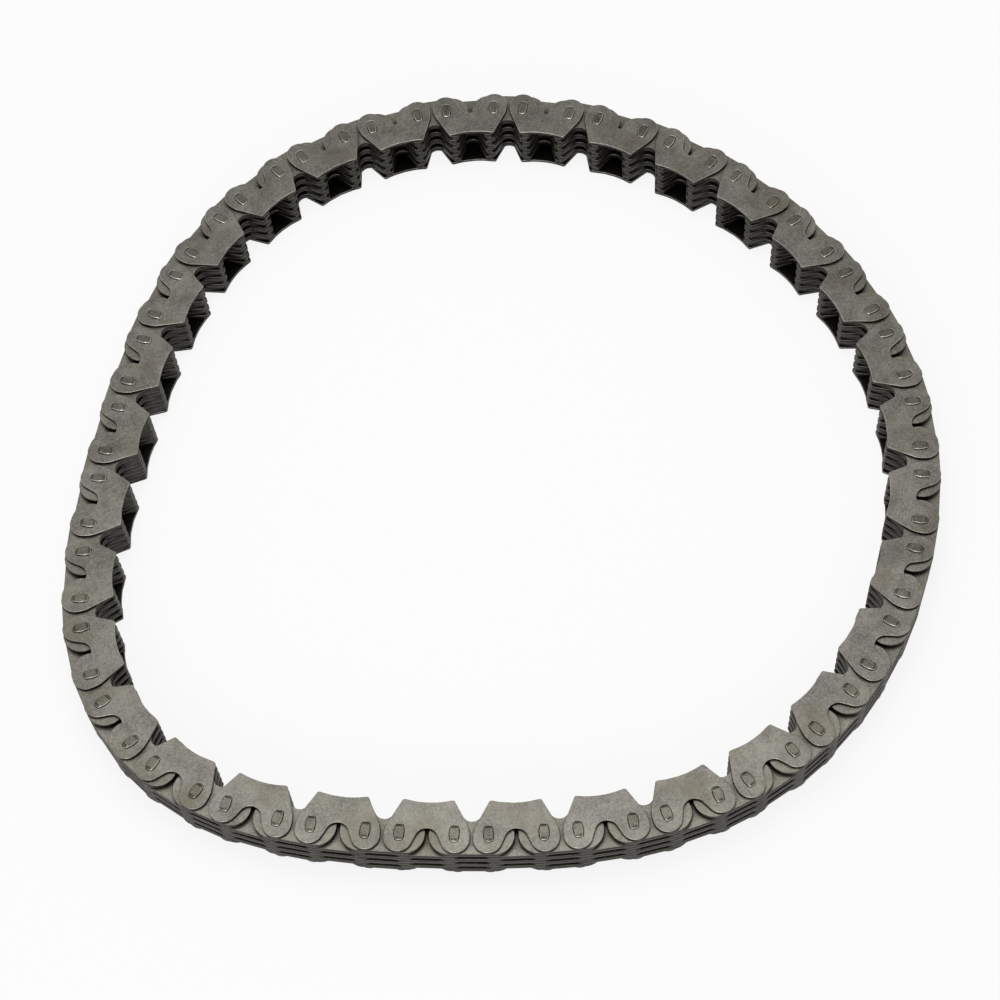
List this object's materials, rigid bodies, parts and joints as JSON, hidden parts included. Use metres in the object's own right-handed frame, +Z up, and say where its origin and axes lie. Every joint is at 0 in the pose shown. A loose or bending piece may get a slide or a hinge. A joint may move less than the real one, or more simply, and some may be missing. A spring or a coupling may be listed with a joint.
{
  "type": "silent chain",
  "caption": "Endless silent chain with side guides: rows of inverted-tooth steel plates on rocker-joint pins, lying on its side in a loose loop.",
  "frame": {"origin": "middle of the loop's box, on the surface that the lower pin ends rest on", "axes": "+Z up along the pins, +Y away from the picture's camera, +X to its right"},
  "size_m": [0.2016, 0.1998, 0.0131],
  "materials": {
    "link_steel": "dark oiled steel, fine-blanked plates and bright-edged pins"
  },
  "bodies": {
    "root_section": {"root_section": "link_steel"},
    "guide_link_01": {"guide_link_01": "link_steel"},
    "plain_link_01": {"plain_link_01": "link_steel"},
    "guide_link_02": {"guide_link_02": "link_steel"},
    "plain_link_02": {"plain_link_02": "link_steel"},
    "guide_link_03": {"guide_link_03": "link_steel"},
    "plain_link_03": {"plain_link_03": "link_steel"},
    "plain_link_06": {"plain_link_06": "link_steel"},
    "guide_link_07": {"guide_link_07": "link_steel"},
    "plain_link_07": {"plain_link_07": "link_steel"},
    "guide_link_08": {"guide_link_08": "link_steel"},
    "plain_link_08": {"plain_link_08": "link_steel"},
    "guide_link_09": {"guide_link_09": "link_steel"},
    "plain_link_09": {"plain_link_09": "link_steel"},
    "guide_link_10": {"guide_link_10": "link_steel"},
    "plain_link_10": {"plain_link_10": "link_steel"},
    "guide_link_11": {"guide_link_11": "link_steel"},
    "plain_link_11": {"plain_link_11": "link_steel"},
    "guide_link_12": {"guide_link_12": "link_steel"},
    "plain_link_12": {"plain_link_12": "link_steel"},
    "guide_link_13": {"guide_link_13": "link_steel"},
    "plain_link_13": {"plain_link_13": "link_steel"},
    "guide_link_14": {"guide_link_14": "link_steel"},
    "plain_link_14": {"plain_link_14": "link_steel"},
    "guide_link_15": {"guide_link_15": "link_steel"},
    "plain_link_15": {"plain_link_15": "link_steel"},
    "guide_link_16": {"guide_link_16": "link_steel"},
    "plain_link_16": {"plain_link_16": "link_steel"},
    "guide_link_17": {"guide_link_17": "link_steel"},
    "plain_link_17": {"plain_link_17": "link_steel"},
    "guide_link_18": {"guide_link_18": "link_steel"},
    "plain_link_18": {"plain_link_18": "link_steel"},
    "guide_link_19": {"guide_link_19": "link_steel"},
    "plain_link_19": {"plain_link_19": "link_steel"},
    "guide_link_20": {"guide_link_20": "link_steel"},
    "plain_link_20": {"plain_link_20": "link_steel"},
    "guide_link_21": {"guide_link_21": "link_steel"},
    "plain_link_21": {"plain_link_21": "link_steel"},
    "guide_link_22": {"guide_link_22": "link_steel"},
    "plain_link_22": {"plain_link_22": "link_steel"},
    "guide_link_23": {"guide_link_23": "link_steel"},
    "plain_link_23": {"plain_link_23": "link_steel"},
    "guide_link_24": {"guide_link_24": "link_steel"},
    "plain_link_24": {"plain_link_24": "link_steel"},
    "guide_link_25": {"guide_link_25": "link_steel"},
    "plain_link_25": {"plain_link_25": "link_steel"},
    "guide_link_26": {"guide_link_26": "link_steel"},
    "plain_link_26": {"plain_link_26": "link_steel"},
    "guide_link_27": {"guide_link_27": "link_steel"},
    "plain_link_27": {"plain_link_27": "link_steel"},
    "guide_link_28": {"guide_link_28": "link_steel"},
    "plain_link_28": {"plain_link_28": "link_steel"},
    "guide_link_29": {"guide_link_29": "link_steel"},
    "plain_link_29": {"plain_link_29": "link_steel"},
    "guide_link_30": {"guide_link_30": "link_steel"},
    "plain_link_30": {"plain_link_30": "link_steel"},
    "guide_link_31": {"guide_link_31": "link_steel"},
    "plain_link_31": {"plain_link_31": "link_steel"},
    "guide_link_32": {"guide_link_32": "link_steel"},
    "plain_link_32": {"plain_link_32": "link_steel"}
  },
  "joints": [
    {"name": "plain_link_06_pivot", "type": "hinge", "parent": "root_section", "child": "plain_link_06", "pos_m": [0.03793, -0.09141, 0.00655], "axis": [0, 0, 1], "range_deg": [-5.04, 5.59]},
    {"name": "guide_link_07_pivot", "type": "hinge", "parent": "plain_link_06", "child": "guide_link_07", "pos_m": [0.04681, -0.08796, 0.00655], "axis": [0, 0, 1], "range_deg": [-4.32, 4.79]},
    {"name": "plain_link_07_pivot", "type": "hinge", "parent": "guide_link_07", "child": "plain_link_07", "pos_m": [0.05518, -0.08341, 0.00655], "axis": [0, 0, 1], "range_deg": [-3.3, 3.67]},
    {"name": "guide_link_08_pivot", "type": "hinge", "parent": "plain_link_07", "child": "guide_link_08", "pos_m": [0.0629, -0.07784, 0.00655], "axis": [0, 0, 1], "range_deg": [-2.6, 2.88]},
    {"name": "plain_link_08_pivot", "type": "hinge", "parent": "guide_link_08", "child": "plain_link_08", "pos_m": [0.0699, -0.07138, 0.00655], "axis": [0, 0, 1], "range_deg": [-2.52, 2.8]},
    {"name": "guide_link_09_pivot", "type": "hinge", "parent": "plain_link_08", "child": "guide_link_09", "pos_m": [0.07613, -0.06417, 0.00655], "axis": [0, 0, 1], "range_deg": [-2.57, 2.85]},
    {"name": "plain_link_09_pivot", "type": "hinge", "parent": "guide_link_09", "child": "plain_link_09", "pos_m": [0.08157, -0.05635, 0.00655], "axis": [0, 0, 1], "range_deg": [-2.18, 2.42]},
    {"name": "guide_link_10_pivot", "type": "hinge", "parent": "plain_link_09", "child": "guide_link_10", "pos_m": [0.08621, -0.04803, 0.00655], "axis": [0, 0, 1], "range_deg": [-1.89, 1.71]},
    {"name": "plain_link_10_pivot", "type": "hinge", "parent": "guide_link_10", "child": "plain_link_10", "pos_m": [0.09004, -0.03931, 0.00655], "axis": [0, 0, 1], "range_deg": [-2.49, 2.24]},
    {"name": "guide_link_11_pivot", "type": "hinge", "parent": "plain_link_10", "child": "guide_link_11", "pos_m": [0.09302, -0.03027, 0.00655], "axis": [0, 0, 1], "range_deg": [-3.23, 2.91]},
    {"name": "plain_link_11_pivot", "type": "hinge", "parent": "guide_link_11", "child": "plain_link_11", "pos_m": [0.09512, -0.02098, 0.00655], "axis": [0, 0, 1], "range_deg": [-3.65, 3.29]},
    {"name": "guide_link_12_pivot", "type": "hinge", "parent": "plain_link_11", "child": "guide_link_12", "pos_m": [0.09627, -0.01152, 0.00655], "axis": [0, 0, 1], "range_deg": [-3.95, 3.56]},
    {"name": "plain_link_12_pivot", "type": "hinge", "parent": "guide_link_12", "child": "plain_link_12", "pos_m": [0.09643, -0.002, 0.00655], "axis": [0, 0, 1], "range_deg": [-4.1, 3.69]},
    {"name": "guide_link_13_pivot", "type": "hinge", "parent": "plain_link_12", "child": "guide_link_13", "pos_m": [0.0956, 0.00749, 0.00655], "axis": [0, 0, 1], "range_deg": [-4, 3.6]},
    {"name": "plain_link_13_pivot", "type": "hinge", "parent": "guide_link_13", "child": "plain_link_13", "pos_m": [0.09378, 0.01684, 0.00655], "axis": [0, 0, 1], "range_deg": [-3.71, 3.34]},
    {"name": "guide_link_14_pivot", "type": "hinge", "parent": "plain_link_13", "child": "guide_link_14", "pos_m": [0.09104, 0.02596, 0.00655], "axis": [0, 0, 1], "range_deg": [-3.46, 3.12]},
    {"name": "plain_link_14_pivot", "type": "hinge", "parent": "guide_link_14", "child": "plain_link_14", "pos_m": [0.08743, 0.03478, 0.00655], "axis": [0, 0, 1], "range_deg": [-3.49, 3.15]},
    {"name": "guide_link_15_pivot", "type": "hinge", "parent": "plain_link_14", "child": "guide_link_15", "pos_m": [0.08304, 0.04323, 0.00655], "axis": [0, 0, 1], "range_deg": [-3.7, 3.33]},
    {"name": "plain_link_15_pivot", "type": "hinge", "parent": "guide_link_15", "child": "plain_link_15", "pos_m": [0.07794, 0.05128, 0.00655], "axis": [0, 0, 1], "range_deg": [-3.7, 3.34]},
    {"name": "guide_link_16_pivot", "type": "hinge", "parent": "plain_link_15", "child": "guide_link_16", "pos_m": [0.07219, 0.05887, 0.00655], "axis": [0, 0, 1], "range_deg": [-3.21, 2.89]},
    {"name": "plain_link_16_pivot", "type": "hinge", "parent": "guide_link_16", "child": "plain_link_16", "pos_m": [0.06583, 0.06597, 0.00655], "axis": [0, 0, 1], "range_deg": [-2.21, 1.99]},
    {"name": "guide_link_17_pivot", "type": "hinge", "parent": "plain_link_16", "child": "guide_link_17", "pos_m": [0.0589, 0.07249, 0.00655], "axis": [0, 0, 1], "range_deg": [-1.77, 1.6]},
    {"name": "plain_link_17_pivot", "type": "hinge", "parent": "guide_link_17", "child": "plain_link_17", "pos_m": [0.0514, 0.07837, 0.00655], "axis": [0, 0, 1], "range_deg": [-1.64, 1.48]},
    {"name": "guide_link_18_pivot", "type": "hinge", "parent": "plain_link_17", "child": "guide_link_18", "pos_m": [0.04339, 0.08352, 0.00655], "axis": [0, 0, 1], "range_deg": [-2.56, 2.84]},
    {"name": "plain_link_18_pivot", "type": "hinge", "parent": "guide_link_18", "child": "plain_link_18", "pos_m": [0.0349, 0.08784, 0.00655], "axis": [0, 0, 1], "range_deg": [-2.97, 3.3]},
    {"name": "guide_link_19_pivot", "type": "hinge", "parent": "plain_link_18", "child": "guide_link_19", "pos_m": [0.02601, 0.09125, 0.00655], "axis": [0, 0, 1], "range_deg": [-3.88, 4.31]},
    {"name": "plain_link_19_pivot", "type": "hinge", "parent": "guide_link_19", "child": "plain_link_19", "pos_m": [0.0168, 0.09369, 0.00655], "axis": [0, 0, 1], "range_deg": [-4.3, 4.77]},
    {"name": "guide_link_20_pivot", "type": "hinge", "parent": "plain_link_19", "child": "guide_link_20", "pos_m": [0.00738, 0.09513, 0.00655], "axis": [0, 0, 1], "range_deg": [-4.1, 4.55]},
    {"name": "plain_link_20_pivot", "type": "hinge", "parent": "guide_link_20", "child": "plain_link_20", "pos_m": [-0.00213, 0.09554, 0.00655], "axis": [0, 0, 1], "range_deg": [-3.37, 3.74]},
    {"name": "guide_link_21_pivot", "type": "hinge", "parent": "plain_link_20", "child": "guide_link_21", "pos_m": [-0.01164, 0.0949, 0.00655], "axis": [0, 0, 1], "range_deg": [-2.57, 2.85]},
    {"name": "plain_link_03_pivot", "type": "hinge", "parent": "root_section", "child": "plain_link_03", "pos_m": [-0.00927, -0.09458, 0.00655], "axis": [0, 0, 1], "range_deg": [-5.73, 5.16]},
    {"name": "guide_link_03_pivot", "type": "hinge", "parent": "plain_link_03", "child": "guide_link_03", "pos_m": [-0.01873, -0.09349, 0.00655], "axis": [0, 0, 1], "range_deg": [-4.94, 4.45]},
    {"name": "plain_link_02_pivot", "type": "hinge", "parent": "guide_link_03", "child": "plain_link_02", "pos_m": [-0.02816, -0.09211, 0.00655], "axis": [0, 0, 1], "range_deg": [-3.63, 3.27]},
    {"name": "guide_link_02_pivot", "type": "hinge", "parent": "plain_link_02", "child": "guide_link_02", "pos_m": [-0.03753, -0.09042, 0.00655], "axis": [0, 0, 1], "range_deg": [-2.6, 2.35]},
    {"name": "plain_link_01_pivot", "type": "hinge", "parent": "guide_link_02", "child": "plain_link_01", "pos_m": [-0.04681, -0.08828, 0.00655], "axis": [0, 0, 1], "range_deg": [-2.41, 2.17]},
    {"name": "guide_link_01_pivot", "type": "hinge", "parent": "plain_link_01", "child": "guide_link_01", "pos_m": [-0.05592, -0.0855, 0.00655], "axis": [0, 0, 1], "range_deg": [-2.41, 2.17]},
    {"name": "plain_link_32_pivot", "type": "hinge", "parent": "guide_link_01", "child": "plain_link_32", "pos_m": [-0.06471, -0.08182, 0.00655], "axis": [0, 0, 1], "range_deg": [-1.85, 1.67]},
    {"name": "guide_link_32_pivot", "type": "hinge", "parent": "plain_link_32", "child": "guide_link_32", "pos_m": [-0.07294, -0.07703, 0.00655], "axis": [0, 0, 1], "range_deg": [-1.49, 1.35]},
    {"name": "plain_link_31_pivot", "type": "hinge", "parent": "guide_link_32", "child": "plain_link_31", "pos_m": [-0.08032, -0.07101, 0.00655], "axis": [0, 0, 1], "range_deg": [-2.55, 2.83]},
    {"name": "guide_link_31_pivot", "type": "hinge", "parent": "plain_link_31", "child": "guide_link_31", "pos_m": [-0.08653, -0.06379, 0.00655], "axis": [0, 0, 1], "range_deg": [-3, 3.33]},
    {"name": "plain_link_30_pivot", "type": "hinge", "parent": "guide_link_31", "child": "plain_link_30", "pos_m": [-0.09128, -0.05553, 0.00655], "axis": [0, 0, 1], "range_deg": [-3.25, 3.61]},
    {"name": "guide_link_30_pivot", "type": "hinge", "parent": "plain_link_30", "child": "guide_link_30", "pos_m": [-0.09447, -0.04656, 0.00655], "axis": [0, 0, 1], "range_deg": [-3.59, 3.99]},
    {"name": "plain_link_29_pivot", "type": "hinge", "parent": "guide_link_30", "child": "plain_link_29", "pos_m": [-0.09612, -0.03718, 0.00655], "axis": [0, 0, 1], "range_deg": [-3.93, 4.37]},
    {"name": "guide_link_29_pivot", "type": "hinge", "parent": "plain_link_29", "child": "guide_link_29", "pos_m": [-0.09643, -0.02766, 0.00655], "axis": [0, 0, 1], "range_deg": [-4.05, 4.5]},
    {"name": "plain_link_28_pivot", "type": "hinge", "parent": "guide_link_29", "child": "plain_link_28", "pos_m": [-0.09568, -0.01816, 0.00655], "axis": [0, 0, 1], "range_deg": [-3.92, 4.35]},
    {"name": "guide_link_28_pivot", "type": "hinge", "parent": "plain_link_28", "child": "guide_link_28", "pos_m": [-0.09415, -0.00876, 0.00655], "axis": [0, 0, 1], "range_deg": [-3.7, 4.11]},
    {"name": "plain_link_27_pivot", "type": "hinge", "parent": "guide_link_28", "child": "plain_link_27", "pos_m": [-0.0921, 0.00054, 0.00655], "axis": [0, 0, 1], "range_deg": [-3.57, 3.97]},
    {"name": "guide_link_27_pivot", "type": "hinge", "parent": "plain_link_27", "child": "guide_link_27", "pos_m": [-0.08971, 0.00976, 0.00655], "axis": [0, 0, 1], "range_deg": [-3.47, 3.85]},
    {"name": "plain_link_26_pivot", "type": "hinge", "parent": "guide_link_27", "child": "plain_link_26", "pos_m": [-0.08706, 0.01891, 0.00655], "axis": [0, 0, 1], "range_deg": [-3.22, 3.58]},
    {"name": "guide_link_26_pivot", "type": "hinge", "parent": "plain_link_26", "child": "guide_link_26", "pos_m": [-0.08414, 0.02798, 0.00655], "axis": [0, 0, 1], "range_deg": [-2.73, 3.03]},
    {"name": "plain_link_25_pivot", "type": "hinge", "parent": "guide_link_26", "child": "plain_link_25", "pos_m": [-0.08086, 0.03692, 0.00655], "axis": [0, 0, 1], "range_deg": [-2.02, 2.24]},
    {"name": "guide_link_25_pivot", "type": "hinge", "parent": "plain_link_25", "child": "guide_link_25", "pos_m": [-0.07709, 0.04567, 0.00655], "axis": [0, 0, 1], "range_deg": [-1.98, 2.19]},
    {"name": "plain_link_24_pivot", "type": "hinge", "parent": "guide_link_25", "child": "plain_link_24", "pos_m": [-0.07268, 0.05411, 0.00655], "axis": [0, 0, 1], "range_deg": [-2.17, 1.95]},
    {"name": "guide_link_24_pivot", "type": "hinge", "parent": "plain_link_24", "child": "guide_link_24", "pos_m": [-0.06751, 0.06211, 0.00655], "axis": [0, 0, 1], "range_deg": [-2.25, 2.02]},
    {"name": "plain_link_23_pivot", "type": "hinge", "parent": "guide_link_24", "child": "plain_link_23", "pos_m": [-0.06151, 0.06951, 0.00655], "axis": [0, 0, 1], "range_deg": [-3.13, 2.82]},
    {"name": "guide_link_23_pivot", "type": "hinge", "parent": "plain_link_23", "child": "guide_link_23", "pos_m": [-0.05469, 0.07616, 0.00655], "axis": [0, 0, 1], "range_deg": [-4.18, 3.77]},
    {"name": "plain_link_22_pivot", "type": "hinge", "parent": "guide_link_23", "child": "plain_link_22", "pos_m": [-0.04711, 0.08193, 0.00655], "axis": [0, 0, 1], "range_deg": [-4.72, 4.25]},
    {"name": "guide_link_22_pivot", "type": "hinge", "parent": "plain_link_22", "child": "guide_link_22", "pos_m": [-0.03888, 0.08672, 0.00655], "axis": [0, 0, 1], "range_deg": [-4.54, 4.08]},
    {"name": "plain_link_21_pivot", "type": "hinge", "parent": "guide_link_22", "child": "plain_link_21", "pos_m": [-0.03014, 0.0905, 0.00655], "axis": [0, 0, 1], "range_deg": [-3.72, 3.35]}
  ],
  "couplings": [
    {"joint": "plain_link_06_pivot", "follows": "plain_link_03_pivot", "ratio": -0.97286},
    {"joint": "guide_link_07_pivot", "follows": "plain_link_03_pivot", "ratio": -0.83311},
    {"joint": "plain_link_07_pivot", "follows": "plain_link_03_pivot", "ratio": -0.63634},
    {"joint": "guide_link_08_pivot", "follows": "plain_link_03_pivot", "ratio": -0.49987},
    {"joint": "plain_link_08_pivot", "follows": "plain_link_03_pivot", "ratio": -0.48538},
    {"joint": "guide_link_09_pivot", "follows": "plain_link_03_pivot", "ratio": -0.49465},
    {"joint": "plain_link_09_pivot", "follows": "plain_link_03_pivot", "ratio": -0.41969},
    {"joint": "guide_link_10_pivot", "follows": "plain_link_03_pivot", "ratio": 0.3272},
    {"joint": "plain_link_10_pivot", "follows": "plain_link_03_pivot", "ratio": 0.43035},
    {"joint": "guide_link_11_pivot", "follows": "plain_link_03_pivot", "ratio": 0.55957},
    {"joint": "plain_link_11_pivot", "follows": "plain_link_03_pivot", "ratio": 0.63429},
    {"joint": "guide_link_12_pivot", "follows": "plain_link_03_pivot", "ratio": 0.68603},
    {"joint": "plain_link_12_pivot", "follows": "plain_link_03_pivot", "ratio": 0.71147},
    {"joint": "guide_link_13_pivot", "follows": "plain_link_03_pivot", "ratio": 0.6948},
    {"joint": "plain_link_13_pivot", "follows": "plain_link_03_pivot", "ratio": 0.64376},
    {"joint": "guide_link_14_pivot", "follows": "plain_link_03_pivot", "ratio": 0.60048},
    {"joint": "plain_link_14_pivot", "follows": "plain_link_03_pivot", "ratio": 0.6064},
    {"joint": "guide_link_15_pivot", "follows": "plain_link_03_pivot", "ratio": 0.64284},
    {"joint": "plain_link_15_pivot", "follows": "plain_link_03_pivot", "ratio": 0.64301},
    {"joint": "guide_link_16_pivot", "follows": "plain_link_03_pivot", "ratio": 0.55635},
    {"joint": "plain_link_16_pivot", "follows": "plain_link_03_pivot", "ratio": 0.38267},
    {"joint": "guide_link_17_pivot", "follows": "plain_link_03_pivot", "ratio": 0.30616},
    {"joint": "plain_link_17_pivot", "follows": "plain_link_03_pivot", "ratio": 0.28346},
    {"joint": "guide_link_18_pivot", "follows": "plain_link_03_pivot", "ratio": -0.49169},
    {"joint": "plain_link_18_pivot", "follows": "plain_link_03_pivot", "ratio": -0.57304},
    {"joint": "guide_link_19_pivot", "follows": "plain_link_03_pivot", "ratio": -0.74799},
    {"joint": "plain_link_19_pivot", "follows": "plain_link_03_pivot", "ratio": -0.82935},
    {"joint": "guide_link_20_pivot", "follows": "plain_link_03_pivot", "ratio": -0.79032},
    {"joint": "plain_link_20_pivot", "follows": "plain_link_03_pivot", "ratio": -0.64928},
    {"joint": "guide_link_21_pivot", "follows": "plain_link_03_pivot", "ratio": -0.49423},
    {"joint": "guide_link_03_pivot", "follows": "plain_link_03_pivot", "ratio": 0.8582},
    {"joint": "plain_link_02_pivot", "follows": "plain_link_03_pivot", "ratio": 0.63052},
    {"joint": "guide_link_02_pivot", "follows": "plain_link_03_pivot", "ratio": 0.45091},
    {"joint": "plain_link_01_pivot", "follows": "plain_link_03_pivot", "ratio": 0.41697},
    {"joint": "guide_link_01_pivot", "follows": "plain_link_03_pivot", "ratio": 0.41647},
    {"joint": "plain_link_32_pivot", "follows": "plain_link_03_pivot", "ratio": 0.31947},
    {"joint": "guide_link_32_pivot", "follows": "plain_link_03_pivot", "ratio": 0.25734},
    {"joint": "plain_link_31_pivot", "follows": "plain_link_03_pivot", "ratio": -0.49011},
    {"joint": "guide_link_31_pivot", "follows": "plain_link_03_pivot", "ratio": -0.57764},
    {"joint": "plain_link_30_pivot", "follows": "plain_link_03_pivot", "ratio": -0.62655},
    {"joint": "guide_link_30_pivot", "follows": "plain_link_03_pivot", "ratio": -0.69317},
    {"joint": "plain_link_29_pivot", "follows": "plain_link_03_pivot", "ratio": -0.75875},
    {"joint": "guide_link_29_pivot", "follows": "plain_link_03_pivot", "ratio": -0.78157},
    {"joint": "plain_link_28_pivot", "follows": "plain_link_03_pivot", "ratio": -0.75562},
    {"joint": "guide_link_28_pivot", "follows": "plain_link_03_pivot", "ratio": -0.71449},
    {"joint": "plain_link_27_pivot", "follows": "plain_link_03_pivot", "ratio": -0.68904},
    {"joint": "guide_link_27_pivot", "follows": "plain_link_03_pivot", "ratio": -0.66887},
    {"joint": "plain_link_26_pivot", "follows": "plain_link_03_pivot", "ratio": -0.62069},
    {"joint": "guide_link_26_pivot", "follows": "plain_link_03_pivot", "ratio": -0.52545},
    {"joint": "plain_link_25_pivot", "follows": "plain_link_03_pivot", "ratio": -0.38746},
    {"joint": "guide_link_25_pivot", "follows": "plain_link_03_pivot", "ratio": -0.37926},
    {"joint": "plain_link_24_pivot", "follows": "plain_link_03_pivot", "ratio": 0.37491},
    {"joint": "guide_link_24_pivot", "follows": "plain_link_03_pivot", "ratio": 0.38851},
    {"joint": "plain_link_23_pivot", "follows": "plain_link_03_pivot", "ratio": 0.54365},
    {"joint": "guide_link_23_pivot", "follows": "plain_link_03_pivot", "ratio": 0.72651},
    {"joint": "plain_link_22_pivot", "follows": "plain_link_03_pivot", "ratio": 0.82086},
    {"joint": "guide_link_22_pivot", "follows": "plain_link_03_pivot", "ratio": 0.78811},
    {"joint": "plain_link_21_pivot", "follows": "plain_link_03_pivot", "ratio": 0.64646}
  ]
}
